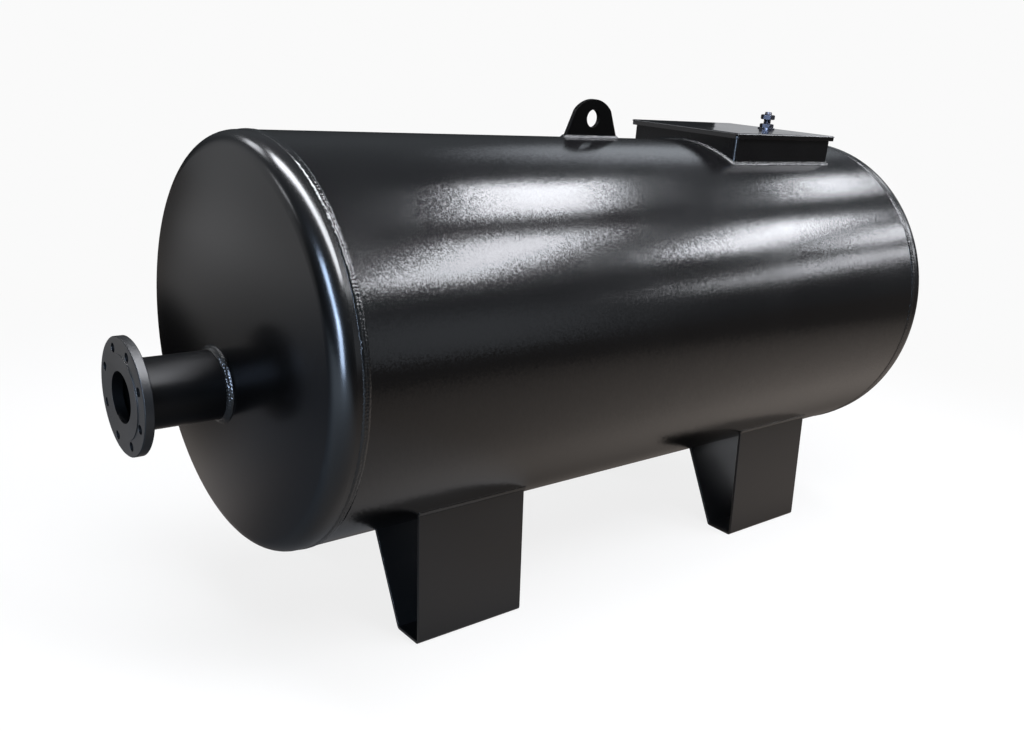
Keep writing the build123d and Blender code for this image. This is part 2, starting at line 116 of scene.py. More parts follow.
# Brightness of the walls, by how much a direction rises.
WALLS_BY_RISE = {"From Min": 0.05, "From Max": 0.5, "To Min": 0.02, "To Max": 0.17}
PALE_STRETCHES = (  # compass direction and height in degrees, half width, strength, tint
    (130, 4, 34, 0.60, "#F6F7FA"),
    (35, 28, 12, 1.15, "#E6EDF6"),
    (-56, 8, 15, 0.60, "#E6EDF6"),
    (-40, 0, 35, 0.10, "#F2F4F8"),
    (3, 14, 13, 0.50, "#F2F4F8"),
)
world = bpy.data.worlds.new("studio_room")
bpy.context.scene.world = world
world.use_nodes = True
room = world.node_tree
room.nodes.clear()
direction = add_node(room, "ShaderNodeTexCoord").outputs["Generated"]
rise = add_node(room, "ShaderNodeSeparateXYZ", {0: direction})
dimness = add_node(room, "ShaderNodeMapRange", {"Value": rise.outputs["Z"], **WALLS_BY_RISE})
walls_tint = add_node(
    room,
    "ShaderNodeMix",
    {0: 1.0, 6: dimness.outputs[0], 7: paint_colour(WALLS)},
    data_type="RGBA",
    blend_type="MULTIPLY",
)
wall_colour = walls_tint.outputs[2]
for compass, height, half_width, strength, tint in PALE_STRETCHES:
    lit = lit_stretch(room, direction, compass, height, half_width, strength)
    glow = add_node(
        room,
        "ShaderNodeMix",
        {0: lit, 6: wall_colour, 7: paint_colour(tint)},
        data_type="RGBA",
        blend_type="ADD",
        clamp_factor=False,
    )
    wall_colour = glow.outputs[2]
walls = add_node(room, "ShaderNodeBackground", {"Color": wall_colour, "Strength": 1.0})
backdrop = add_node(room, "ShaderNodeBackground", {"Color": paint_colour(BACKDROP), "Strength": 1.0})
ray = add_node(room, "ShaderNodeLightPath")
mixed = add_node(
    room,
    "ShaderNodeMixShader",
    {0: ray.outputs["Is Camera Ray"], 1: walls.outputs[0], 2: backdrop.outputs[0]},
)
add_node(room, "ShaderNodeOutputWorld", {0: mixed.outputs[0]})

# Studio floor: a pale seamless sheet, on which the camera sees a faint contact shadow. What the
# paint mirrors of it is painted light: a warm painted sheen round the tank, a painted shadow under
# it, the sheen dimmer before its near end, three painted pools of light further out, and a
# painted unlit oval beyond the nozzle.
FLOOR_R = 30.0
FLOOR_ROUNDNESS = 96
SHEET = "#E8E8E8"
# Share of the even tone over the shadowed sheet, by distance from the tank's middle.
EVEN_BY_REACH = {"From Min": 0.9, "From Max": 3.0, "To Min": 0.87}
# Painted light on the floor, seen only in what the paint mirrors: a warm painted sheen round the tank.
PAINTED_SHEEN_TINT = "#FFF2E8"
SHEEN_MIDDLE = (0.9, 0.0, 0.0)
SHEEN_BY_DISTANCE = {"From Min": 0.3, "From Max": 3.2, "To Min": 0.72, "To Max": 0.1}
# Painted shadow of the tank, by distance from its centre line, and the painted sheen's dimming before
# its near end, by X.
PAINTED_TANK_SHADOW_BY_ASIDE = {"From Min": 0.1, "From Max": 0.5, "To Min": 0.25}
PAINTED_SHEEN_DIMMING_BY_X = {"From Min": -1.4, "From Max": -0.4, "To Min": 0.45}
# Painted pools of light on the floor, seen only in what the paint mirrors.
PAINTED_FLOOR_POOLS = (  # compass direction and half width in degrees, distance it starts and ends, level, tint
    (132, 30, 2.0, 8.0, 0.70, "#F6F7FA"),
    (170, 34, 0.7, 1.6, 0.15, "#C4DCFF"),
    (-145, 52, 0.9, 3.2, 1.50, "#D5E9FF"),
)
POOL_AT_START = 0.1
# A painted unlit oval on the floor beyond the nozzle, where the painted glow goes to black.
OVAL_X = -1.05
OVAL_Y = 2.1
OVAL_STRETCH = 2.0
OVAL_BY_DISTANCE = {"From Min": 0.72, "From Max": 0.35}
bpy.ops.object.select_all(action="DESELECT")
bpy.ops.mesh.primitive_circle_add(
    vertices=FLOOR_ROUNDNESS, radius=FLOOR_R, fill_type="NGON", location=(0, 0, 0)
)
floor = bpy.context.object
floor.name = "studio_floor"
floor_finish = bpy.data.materials.new("pale_studio_floor")
floor_finish.use_nodes = True
tree = floor_finish.node_tree
tree.nodes.clear()
place = add_node(tree, "ShaderNodeTexCoord").outputs["Object"]
reach = add_node(tree, "ShaderNodeVectorMath", {0: place}, operation="LENGTH").outputs["Value"]
evenness = add_node(
    tree, "ShaderNodeMapRange", {"Value": reach, **EVEN_BY_REACH}, interpolation_type="SMOOTHSTEP"
)
sheet = add_node(tree, "ShaderNodeBsdfDiffuse", {"Color": paint_colour(SHEET)})
even = add_node(tree, "ShaderNodeEmission", {"Color": paint_colour(BACKDROP), "Strength": 1.0})
seen_floor = add_node(
    tree, "ShaderNodeMixShader", {0: evenness.outputs[0], 1: sheet.outputs[0], 2: even.outputs[0]}
)
along = add_node(tree, "ShaderNodeSeparateXYZ", {0: place})
aside = add_node(tree, "ShaderNodeMath", {0: along.outputs["Y"]}, operation="ABSOLUTE")
distance = add_node(tree, "ShaderNodeVectorMath", {0: place, 1: SHEEN_MIDDLE}, operation="DISTANCE")
full_sheen = add_node(
    tree, "ShaderNodeMapRange", {"Value": distance.outputs["Value"], **SHEEN_BY_DISTANCE}
)
# Painted shadow of the tank: the painted sheen darkens under it.
painted_tank_shadow = add_node(
    tree,
    "ShaderNodeMapRange",
    {"Value": aside.outputs[0], **PAINTED_TANK_SHADOW_BY_ASIDE},
    interpolation_type="SMOOTHSTEP",
)
# The painted sheen dims before the tank's near end.
painted_near_end_dimming = add_node(tree, "ShaderNodeMapRange", {"Value": along.outputs["X"], **PAINTED_SHEEN_DIMMING_BY_X})
sheen_in_painted_shadow = add_node(
    tree, "ShaderNodeMath", {0: full_sheen.outputs[0], 1: painted_tank_shadow.outputs[0]}, operation="MULTIPLY"
)
painted_sheen_level = add_node(
    tree, "ShaderNodeMath", {0: sheen_in_painted_shadow.outputs[0], 1: painted_near_end_dimming.outputs[0]}, operation="MULTIPLY"
)
# The painted sheen: the floor glows as if lit, for all but camera rays.
painted_floor_light = add_node(
    tree, "ShaderNodeEmission", {"Color": paint_colour(PAINTED_SHEEN_TINT), "Strength": painted_sheen_level.outputs[0]}
)
heading = add_node(tree, "ShaderNodeVectorMath", {0: place}, operation="NORMALIZE").outputs[0]
# Painted pools of light further out, added to the painted sheen.
for compass, half_width, start, end, strength, tint in PAINTED_FLOOR_POOLS:
    lit = lit_stretch(tree, heading, compass, 0, half_width, strength)
    outward = add_node(
        tree,
        "ShaderNodeMapRange",
        {"Value": reach, "From Min": start, "From Max": end, "To Min": POOL_AT_START},
    )
    level = add_node(tree, "ShaderNodeMath", {0: lit, 1: outward.outputs[0]}, operation="MULTIPLY")
    painted_pool = add_node(
        tree, "ShaderNodeEmission", {"Color": paint_colour(tint), "Strength": level.outputs[0]}
    )
    painted_floor_light = add_node(tree, "ShaderNodeAddShader", {0: painted_floor_light.outputs[0], 1: painted_pool.outputs[0]})
# Painted unlit oval beyond the nozzle: the floor's painted glow goes to black there.
oval = add_node(
    tree,
    "ShaderNodeMapping",
    {
        "Vector": place,
        "Location": (-OVAL_X, -OVAL_Y / OVAL_STRETCH, 0.0),
        "Scale": (1.0, 1 / OVAL_STRETCH, 1.0),
    },
)
from_oval = add_node(tree, "ShaderNodeVectorMath", {0: oval.outputs[0]}, operation="LENGTH")
painted_unlit_oval = add_node(tree, "ShaderNodeMapRange", {"Value": from_oval.outputs["Value"], **OVAL_BY_DISTANCE})
painted_black = add_node(tree, "ShaderNodeEmission", {"Color": paint_colour("#000000"), "Strength": 0.0})
painted_floor_light = add_node(
    tree, "ShaderNodeMixShader", {0: painted_unlit_oval.outputs[0], 1: painted_floor_light.outputs[0], 2: painted_black.outputs[0]}
)
ray = add_node(tree, "ShaderNodeLightPath")
either = add_node(
    tree,
    "ShaderNodeMixShader",
    {0: ray.outputs["Is Camera Ray"], 1: painted_floor_light.outputs[0], 2: seen_floor.outputs[0]},
)
add_node(tree, "ShaderNodeOutputMaterial", {0: either.outputs[0]})
floor.data.materials.append(floor_finish)

# Softboxes: a ceiling grid of lit rectangles facing down, 3.2 m up, with a window behind the
# photographer and a pale panel past the far end. The gloss paint mirrors them all as its
# highlights, only the white ones on the ceiling light dull surfaces, and the camera sees none.
CEILING = 3.2
WHITE_LIGHT = "#F7F9FF"
COOL_LIGHT = "#C4DCFF"
SOFTBOXES = (  # name, middle X and Y, size along X and Y in metres, turn in degrees, brightness, tint
    ("first_row_near", 1.69, -0.19, 0.88, 1.04, 0, 15.5, WHITE_LIGHT),
    ("first_row_far", 4.18, 0.00, 0.85, 0.90, 0, 9.0, WHITE_LIGHT),
    ("second_row_near", 1.86, -2.32, 0.96, 1.85, 0, 17.5, WHITE_LIGHT),
    ("second_row_middle", 4.25, -2.10, 1.10, 1.40, 0, 17.5, WHITE_LIGHT),
    ("second_row_far", 6.35, -2.50, 1.10, 1.30, 0, 12.0, WHITE_LIGHT),
    ("third_row_far", 8.60, -5.30, 2.40, 3.20, 0, 8.0, WHITE_LIGHT),
    ("slanted_row", -0.38, -0.74, 0.70, 4.34, 21.8, 25.0, WHITE_LIGHT),
    ("cool_row", -4.60, -3.95, 1.35, 5.60, -27, 33.0, COOL_LIGHT),
    ("back_row_near", -1.60, 2.60, 0.80, 1.20, 0, 8.0, WHITE_LIGHT),
    ("back_row_middle", -4.60, 2.40, 0.80, 1.20, 0, 8.0, WHITE_LIGHT),
)
UPRIGHT_LIGHTS = (  # name, middle, direction it faces, width, height, brightness, tint
    ("window", (-3.90, -4.26, 1.65), (0.623, 0.782, 0.0), 1.5, 2.3, 28.0, COOL_LIGHT),
    ("far_panel", (8.70, 3.90, 1.70), (-0.906, -0.423, 0.0), 4.7, 2.2, 0.50, "#F2F4F8"),
)


def light_rectangle(light, name, wide, high, brightness, tint):
    """Makes a light an evenly bright rectangle that the camera doesn't see."""
    light.name = name
    light.data.shape = "RECTANGLE"
    light.data.size = wide
    light.data.size_y = high
    light.data.energy = brightness * math.pi * wide * high
    light.data.color = paint_colour(tint)[:3]
    light.visible_camera = False


for name, x, y, along_x, along_y, turn, brightness, tint in SOFTBOXES:
    bpy.ops.object.light_add(type="AREA", location=(x, y, CEILING), rotation=(0, 0, math.radians(turn)))
    softbox = bpy.context.object
    light_rectangle(softbox, name, along_x, along_y, brightness, tint)
    softbox.visible_diffuse = tint == WHITE_LIGHT
for name, middle, facing, wide, high, brightness, tint in UPRIGHT_LIGHTS:
    bpy.ops.object.light_add(type="AREA", location=middle)
    panel = bpy.context.object
    light_rectangle(panel, name, wide, high, brightness, tint)
    panel.rotation_mode = "QUATERNION"
    panel.rotation_quaternion = Vector(facing).to_track_quat("-Z", "Y")
    panel.visible_diffuse = False

# Shell: 6 mm plate rolled to a cylinder and sprayed with black gloss enamel. The rolling leaves
# slow waves in the plate, and the spray dries over them with a fine orange peel.
ENAMEL_IOR = 1.5
ROUGHNESS_DRIFT = 0.04


def enamel(
    name,
    colour,
    roughness,
    grain_mm,
    grain_depth_mm,
    wave_mm,
    wave_depth_mm,
    edge_mm=0.0,
    shine=0.5,
):
    """Sprayed enamel: a grain of its own size over the slow waves of the metal below, with cut
    edges rounded by the paint."""
    finish = bpy.data.materials.new(name)
    finish.use_nodes = True
    tree = finish.node_tree
    shader = tree.nodes["Principled BSDF"]
    shader.inputs["Base Color"].default_value = paint_colour(colour)
    shader.inputs["IOR"].default_value = ENAMEL_IOR
    shader.inputs["Specular IOR Level"].default_value = shine
    place = add_node(tree, "ShaderNodeTexCoord").outputs["Object"]
    grain = add_node(
        tree,
        "ShaderNodeTexNoise",
        {"Vector": place, "Scale": 1000 / grain_mm, "Detail": 2.0, "Roughness": 0.6},
    )
    waves = add_node(
        tree, "ShaderNodeTexNoise", {"Vector": place, "Scale": 1000 / wave_mm, "Detail": 1.0}
    )
    slow = add_node(
        tree,
        "ShaderNodeBump",
        {"Height": waves.outputs["Fac"], "Distance": wave_depth_mm / 1000, "Strength": 1.0},
    )
    if edge_mm:
        edge = add_node(tree, "ShaderNodeBevel", {"Radius": edge_mm / 1000}, samples=6)
        tree.links.new(edge.outputs["Normal"], slow.inputs["Normal"])
    fine = add_node(
        tree,
        "ShaderNodeBump",
        {
            "Height": grain.outputs["Fac"],
            "Distance": grain_depth_mm / 1000,
            "Strength": 1.0,
            "Normal": slow.outputs["Normal"],
        },
    )
    tree.links.new(fine.outputs["Normal"], shader.inputs["Normal"])
    uneven = add_node(
        tree,
        "ShaderNodeMapRange",
        {
            "Value": waves.outputs["Fac"],
            "To Min": roughness - ROUGHNESS_DRIFT,
            "To Max": roughness + ROUGHNESS_DRIFT,
        },
    )
    tree.links.new(uneven.outputs[0], shader.inputs["Roughness"])
    return finish


def dress(finish, *names):
    """Gives the finish to CAD nodes as they stand."""
    for name in names:
        nodes[name].data.materials.clear()
        nodes[name].data.materials.append(finish)


# Black gloss enamel, sprayed: near black, with long soft highlights that wander a little.
shell_enamel = enamel(
    "gloss_enamel_on_rolled_plate",
    "#070708",
    roughness=0.175,
    grain_mm=3.2,
    grain_depth_mm=0.02,
    wave_mm=160.0,
    wave_depth_mm=0.6,
)
# Its orange peel breaks the highlights into sandy grain. The real dimples are under a millimetre,
# too fine for the picture, so they are drawn as facets of 2.1 and 4.2 mm, each tipped its own way
# by a degree or so.
FACETS = (  # width in mm, tip
    (2.1, 0.052),
    (4.2, 0.008),
)
LEVEL_FACET = (0.5, 0.5, 0.5)  # mean of the cells' colours
tree = shell_enamel.node_tree
shader = tree.nodes["Principled BSDF"]
place = add_node(tree, "ShaderNodeTexCoord").outputs["Object"]
facing = shader.inputs["Normal"].links[0].from_socket
for facet_mm, tip in FACETS:
    cells = add_node(tree, "ShaderNodeTexVoronoi", {"Vector": place, "Scale": 1000 / facet_mm})
    centred = add_node(
        tree,
        "ShaderNodeVectorMath",
        {0: cells.outputs["Color"], 1: LEVEL_FACET},
        operation="SUBTRACT",
    )
    tipped = add_node(
        tree, "ShaderNodeVectorMath", {0: centred.outputs[0], "Scale": tip}, operation="SCALE"
    )
    facing = add_node(
        tree, "ShaderNodeVectorMath", {0: facing, 1: tipped.outputs[0]}, operation="ADD"
    ).outputs[0]
even_length = add_node(tree, "ShaderNodeVectorMath", {0: facing}, operation="NORMALIZE")
tree.links.new(even_length.outputs[0], shader.inputs["Normal"])
dress(shell_enamel, "shell")

# Heads: 6 mm plate pressed to a shallow dish with a tight knuckle, ground smooth before paint and
# butt-welded to the shell. The enamel lies flatter here, so it has longer and fainter dimples than
# on the shell, and the knuckle gathers the lights into soft bands.
head_enamel = enamel(
    "gloss_enamel_on_pressed_heads",
    "#070708",
    roughness=0.22,
    grain_mm=7.0,
    grain_depth_mm=0.05,
    wave_mm=300.0,
    wave_depth_mm=0.5,
)
dress(head_enamel, "near_head", "far_head")

# Girth welds: a convex cap of two passes round each end of the shell, laid by hand in a bevelled
# butt. Each weave leaves a crescent ripple, and the enamel pools along both toes. No modelling
# operator lays ripples, so the beads are set point by point.
BEAD_STEP = 0.001
FEWEST_STEPS = 12
LOOK_AHEAD = 1e-4  # share of a bead over which its direction is taken
WANDER_MM = 25.0  # travel over which an open bead changes
WANDER_ROUND_MM = 160.0  # the same round a closed bead, times 2 pi
NEXT_OPEN_BEAD = 7.7  # how far apart the beads of one piece read the noise
NEXT_CLOSED_BEAD = 3.1
END_HEIGHT = 0.35  # of the bulge, where an open bead starts and stops
END_RUN = 0.03
END_STEEPNESS = 4.0
CRESCENT = 0.9  # how far the toes lag the middle, in ripples
RIPPLE_RISE = 0.7  # shares of a ripple that climb and fall
RIPPLE_FALL = 0.3
UNEVEN_TRAVEL = 1.3  # how far the ripples wander from their even places, in ripples
SWELL = 0.1  # share of the bulge that comes and goes
VALLEY = 0.4  # share of the height that is lost between two passes
VALLEY_WANDER = 0.9
RIPPLE_SHARE = 0.4  # shares of the ripple's height
CRINKLE_SHARE = 0.5
FLECK_SHARE = 0.7
TOE_WANDER = 0.07  # of the bead's width
TOE_SINK = 0.0001


def drift(run, quickness, aside):
    """Smooth noise from -1 to 1 along a bead, each use of it read from another place."""
    return noise.noise(run * quickness + Vector(aside))


def cap_height(t, phase, run, wander, swell, bulge_mm, ripple_height_mm, passes):
    """Height in mm of a bead over its chord, at t from -1 to 1 across it."""
    cap = 1 - t * t
    scale = (phase - CRESCENT * t * t) % 1.0
    crest = scale / RIPPLE_RISE if scale < RIPPLE_RISE else (1 - scale) / RIPPLE_FALL
    height = bulge_mm * cap * (1 - SWELL + SWELL * swell)
    if passes > 1:
        ridge = abs(math.sin(passes * math.pi * (t + 1) / 2 + VALLEY_WANDER * wander * cap))
        height *= 1 - VALLEY + VALLEY * ridge
    crinkle = drift(run, quickness=4, aside=(4 * t, 2, 7))
    fleck = drift(run, quickness=9, aside=(5 * t, 6, 3))
    rough = RIPPLE_SHARE * (1 - crest)
    rough += CRINKLE_SHARE * max(0.0, crinkle)
    rough += FLECK_SHARE * max(0.0, fleck)
    return height - ripple_height_mm * rough * math.sqrt(cap)


def bead_rings(mesh, number, track, length, closed, bulge_mm, ripple_mm, ripple_height_mm, passes):
    """Cross-sections of one bead, each from toe to toe over its cap, and then its root."""
    across = 6 + 4 * passes
    count = max(FEWEST_STEPS, int(length / BEAD_STEP))
    ripples = round(length * 1000 / ripple_mm)
    rings = []
    for step in range(count + (0 if closed else 1)):
        u = step / count
        toe_a, toe_b, root = (Vector(p) for p in track(u))
        ahead = track(u + LOOK_AHEAD if u < 1 - 10 * LOOK_AHEAD else u - LOOK_AHEAD)
        travel = (Vector(ahead[0]) + Vector(ahead[1]) - toe_a - toe_b).normalized()
        middle = (toe_a + toe_b) / 2
        chord = toe_b - toe_a
        out = chord.cross(travel).normalized()
        if out.dot(middle - root) < 0:
            out.negate()
        if closed:
            turn = 2 * math.pi * u
            circle = Vector((math.cos(turn), math.sin(turn), NEXT_CLOSED_BEAD * number))
            run = circle * (length * 1000 / WANDER_ROUND_MM)
            end = 1.0
        else:
            run = Vector((u * length * 1000 / WANDER_MM, NEXT_OPEN_BEAD * number, 0))
            end = min(1.0, END_HEIGHT + END_STEEPNESS * min(u, 1 - u) * length / END_RUN)
        wander = noise.noise(run)
        swell = drift(run, quickness=1.7, aside=(9, 2, 5))
        phase = ripples * u + UNEVEN_TRAVEL * wander
        ring = []
        for i in range(across + 1):
            t = 2 * i / across - 1
            height = cap_height(t, phase, run, wander, swell, bulge_mm, ripple_height_mm, passes)
            toe_drift = drift(run, quickness=4, aside=(t, 3, 1)) - 0.5
            toe_shift = TOE_WANDER * t * abs(t) * toe_drift
            point = middle + chord * (t / 2 + toe_shift)
            ring.append(mesh.verts.new(point + out * (end * height / 1000)))
        ring.append(mesh.verts.new(root))
        rings.append(ring)
    return rings


def lay_bead(name, replaced, tracks, bulge_mm, ripple_mm, ripple_height_mm, passes=1):
    """Weld beads as one piece. A track is a function from 0 to 1 giving toe, toe and root points,
    its length in metres, and True where it closes on itself. More passes leave as many ridges
    side by side."""
    mesh = bmesh.new()
    for number, (track, length, closed) in enumerate(tracks):
        rings = bead_rings(
            mesh, number, track, length, closed, bulge_mm, ripple_mm, ripple_height_mm, passes
        )
        pairs = list(zip(rings, rings[1:] + rings[:1])) if closed else list(zip(rings, rings[1:]))
        for one, two in pairs:
            for i in range(len(one)):
                j = (i + 1) % len(one)
                mesh.faces.new((one[i], one[j], two[j], two[i]))
        if not closed:
            mesh.faces.new(rings[0])
            mesh.faces.new(rings[-1])
    bmesh.ops.recalc_face_normals(mesh, faces=mesh.faces)
    data = bpy.data.meshes.new(name)
    mesh.to_mesh(data)
    mesh.free()
    bead = bpy.data.objects.new(name, data)
    bpy.context.scene.collection.objects.link(bead)
    for face in data.polygons:
        face.use_smooth = True
    data.materials.append(weld_enamel)
    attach(bead, "root")
    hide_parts(replaced)


# The same enamel, thicker where it runs into the weld's valleys: glossier, so it sparkles.
weld_enamel = enamel(
    "gloss_enamel_pooled_on_weld",
    "#0E0F10",
    roughness=0.17,
    grain_mm=5.0,
    grain_depth_mm=0.25,
    wave_mm=60.0,
    wave_depth_mm=0.2,
)
TANK_R = 0.4
GIRTH_HALF_W = 0.0088
GIRTH_ROOT = 0.003
girth_low, girth_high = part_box("near_girth_weld")
AXIS_Z = (girth_low.z + girth_high.z) / 2


def on_shell(turn, lift=0.0):
    """Y and Z at an angle round the tank from +Y toward +Z, at a height over the shell."""
    return (TANK_R + lift) * math.cos(turn), AXIS_Z + (TANK_R + lift) * math.sin(turn)


def girth_track(weld_x):
    """Round the shell, half on the shell and half on the head."""

    def track(u):
        turn = 2 * math.pi * u
        y, z = on_shell(turn, -TOE_SINK)
        root = (weld_x, *on_shell(turn, -GIRTH_ROOT))
        return (weld_x - GIRTH_HALF_W, y, z), (weld_x + GIRTH_HALF_W, y, z), root

    return track, 2 * math.pi * TANK_R, True


for end in ("near", "far"):
    low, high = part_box(f"{end}_girth_weld")
    lay_bead(
        f"{end}_girth_bead",
        f"{end}_girth_weld",
        [girth_track((low.x + high.x) / 2)],
        bulge_mm=2.3,
        ripple_mm=6.5,
        ripple_height_mm=0.9,
        passes=2,
    )

# Seam: the butt weld that closes the rolled plate, low on the back and laid from end to end in one
# pass, with the same enamel over it.
SEAM_TURN = math.radians(-25)
SEAM_HALF_W = 0.0062
SEAM_ROOT = 0.005
SEAM_SHORT = 0.005  # how far the bead stops short of its node's ends
seam_low, seam_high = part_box("shell_seam_weld")


def seam(u):
    x = seam_low.x + SEAM_SHORT + u * (seam_high.x - seam_low.x - 2 * SEAM_SHORT)
    spread = SEAM_HALF_W / TANK_R
    return (
        (x, *on_shell(SEAM_TURN - spread, -TOE_SINK)),
        (x, *on_shell(SEAM_TURN + spread, -TOE_SINK)),
        (x, *on_shell(SEAM_TURN, -SEAM_ROOT)),
    )


lay_bead(
    "shell_seam_bead",
    "shell_seam_weld",
    [(seam, seam_high.x - seam_low.x, False)],
    bulge_mm=1.9,
    ripple_mm=6.5,
    ripple_height_mm=0.9,
)

# Nozzle: a tube set through the near head and butted on a turned and drilled plate flange, with a
# fillet weld at each end of it.

# Thin enamel on the drawn tube: duller than the shell, with hardly a highlight.
nozzle_enamel = enamel(
    "thin_enamel_on_turned_steel",
    "#070708",
    roughness=0.34,
    grain_mm=3.0,
    grain_depth_mm=0.08,
    wave_mm=60.0,
    wave_depth_mm=0.05,
    edge_mm=0.8,
    shine=0.13,
)
dress(nozzle_enamel, "nozzle_pipe")
# The same on the flange, so thin on its outward face that the turned steel shows grey with fine
# rings. Real rings are about 0.8 mm apart, and are drawn at 1.6 mm to show.
FLANGE_PAINT = "#0C0C0D"
TURNED_STEEL = "#7F7C78"
GROOVE_PITCH = 0.0016
GROOVE_DEPTH = 0.00004
BARE_BY_FACING = {"From Min": -0.8, "From Max": -0.98}  # of the normal's X
# By distance from the nozzle's axis, low within the bore of 96 mm.
SHINE_BY_SPREAD = {"From Min": 0.0478, "From Max": 0.0484, "To Min": 0.06, "To Max": 0.5}
flange_enamel = enamel(
    "thin_enamel_on_turned_flange",
    FLANGE_PAINT,
    roughness=0.4,
    grain_mm=3.0,
    grain_depth_mm=0.08,
    wave_mm=60.0,
    wave_depth_mm=0.05,
    edge_mm=0.8,
)
flange_low, flange_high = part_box("nozzle_flange")
nozzle_z = (flange_low.z + flange_high.z) / 2
tree = flange_enamel.node_tree
shader = tree.nodes["Principled BSDF"]
place = add_node(tree, "ShaderNodeTexCoord")
centred = add_node(
    tree,
    "ShaderNodeMapping",
    {"Vector": place.outputs["Object"], "Location": (0, 0, -nozzle_z), "Scale": (0, 1, 1)},
)
spread = add_node(tree, "ShaderNodeVectorMath", {0: centred.outputs[0]}, operation="LENGTH")
rings = add_node(
    tree,
    "ShaderNodeMath",
    {0: spread.outputs["Value"], 1: 2 * math.pi / GROOVE_PITCH},
    operation="MULTIPLY",
)
groove = add_node(tree, "ShaderNodeMath", {0: rings.outputs[0]}, operation="SINE")
edge = next(n for n in tree.nodes if n.type == "BEVEL")
below = edge.outputs["Normal"].links[0].to_socket
turned = add_node(
    tree,
    "ShaderNodeBump",
    {
        "Height": groove.outputs[0],
        "Distance": GROOVE_DEPTH,
        "Strength": 1.0,
        "Normal": edge.outputs["Normal"],
    },
)
tree.links.new(turned.outputs["Normal"], below)
outward = add_node(tree, "ShaderNodeSeparateXYZ", {0: place.outputs["Normal"]})
bare = add_node(tree, "ShaderNodeMapRange", {"Value": outward.outputs["X"], **BARE_BY_FACING})
steel_shows = add_node(
    tree,
    "ShaderNodeMix",
    {0: bare.outputs[0], 6: paint_colour(FLANGE_PAINT), 7: paint_colour(TURNED_STEEL)},
    data_type="RGBA",
)
tree.links.new(bare.outputs[0], shader.inputs["Metallic"])
tree.links.new(steel_shows.outputs[2], shader.inputs["Base Color"])
# Inside the bore the paint gives way to dull scale, which mirrors next to nothing.
scale_in_bore = add_node(
    tree, "ShaderNodeMapRange", {"Value": spread.outputs["Value"], **SHINE_BY_SPREAD}
)
tree.links.new(scale_in_bore.outputs[0], shader.inputs["Specular IOR Level"])
dress(flange_enamel, "nozzle_flange")

PIPE_R = 0.0665
DISH_R = 2.1
HEAD_DEPTH = 0.08802  # from the girth weld's middle to the middle of the dish
HEAD_FILLET_LEG = 0.0105
HEAD_FILLET_ROOT = 0.002
HEAD_BEAD_R = 0.073
FLANGE_FILLET_LEG = 0.006
FLANGE_FILLET_ROOT = 0.001
FLANGE_BEAD_R = 0.069
dish_x = (girth_low.x + girth_high.x) / 2 - HEAD_DEPTH + DISH_R
flange_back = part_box("nozzle_pipe")[0].x


def on_dish(y, z):
    """X of the near head's outer face."""
    return dish_x - math.sqrt(DISH_R**2 - y**2 - (z - AXIS_Z) ** 2)


def head_fillet(u):
    turn = 2 * math.pi * u
    cy, cz = math.cos(turn), math.sin(turn)
    foot_r = PIPE_R + HEAD_FILLET_LEG
    foot_y, foot_z = foot_r * cy, nozzle_z + foot_r * cz
    at_x = on_dish(PIPE_R * cy, nozzle_z + PIPE_R * cz)
    core = PIPE_R - HEAD_FILLET_ROOT
    return (
        (at_x - HEAD_FILLET_LEG, PIPE_R * cy, nozzle_z + PIPE_R * cz),
        (on_dish(foot_y, foot_z), foot_y, foot_z),
        (at_x + HEAD_FILLET_ROOT, core * cy, nozzle_z + core * cz),
    )


def flange_fillet(u):
    turn = 2 * math.pi * u
    cy, cz = math.cos(turn), math.sin(turn)
    foot_r = PIPE_R + FLANGE_FILLET_LEG
    core = PIPE_R - FLANGE_FILLET_ROOT
    return (
        (flange_back + FLANGE_FILLET_LEG, PIPE_R * cy, nozzle_z + PIPE_R * cz),
        (flange_back, foot_r * cy, nozzle_z + foot_r * cz),
        (flange_back - FLANGE_FILLET_ROOT, core * cy, nozzle_z + core * cz),
    )


lay_bead(
    "nozzle_head_bead",
    "nozzle_head_weld",
    [(head_fillet, 2 * math.pi * HEAD_BEAD_R, True)],
    bulge_mm=1.6,
    ripple_mm=6.0,
    ripple_height_mm=2.0,
    passes=2,
)
lay_bead(
    "nozzle_flange_bead",
    "nozzle_flange_weld",
    [(flange_fillet, 2 * math.pi * FLANGE_BEAD_R, True)],
    bulge_mm=0.6,
    ripple_mm=5.0,
    ripple_height_mm=0.5,
)

# Lifting lug: 10 mm plate, flame cut to a rounded ear with one hole, its edge dressed, and welded
# on the crown with a fillet all round its foot.

# Enamel on flame-cut plate: the blackest of all, with soft edges and barely a sheen.
lug_enamel = enamel(
    "gloss_enamel_on_cut_plate",
    "#030303",
    roughness=0.3,
    grain_mm=4.0,
    grain_depth_mm=0.12,
    wave_mm=60.0,
    wave_depth_mm=0.1,
    edge_mm=1.2,
    shine=0.08,
)
dress(lug_enamel, "lifting_lug")
LUG_HALF_L = 0.08
LUG_HALF_T = 0.005
LUG_SLANT = 26 / 61  # run over rise of its tapered sides
LUG_FILLET_LEG = 0.0065
LUG_BEAD_L = 0.387  # once round the foot
FOOT_ROOT = 0.002
lug_low, lug_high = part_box("lifting_lug")
lug_x = (lug_low.x + lug_high.x) / 2


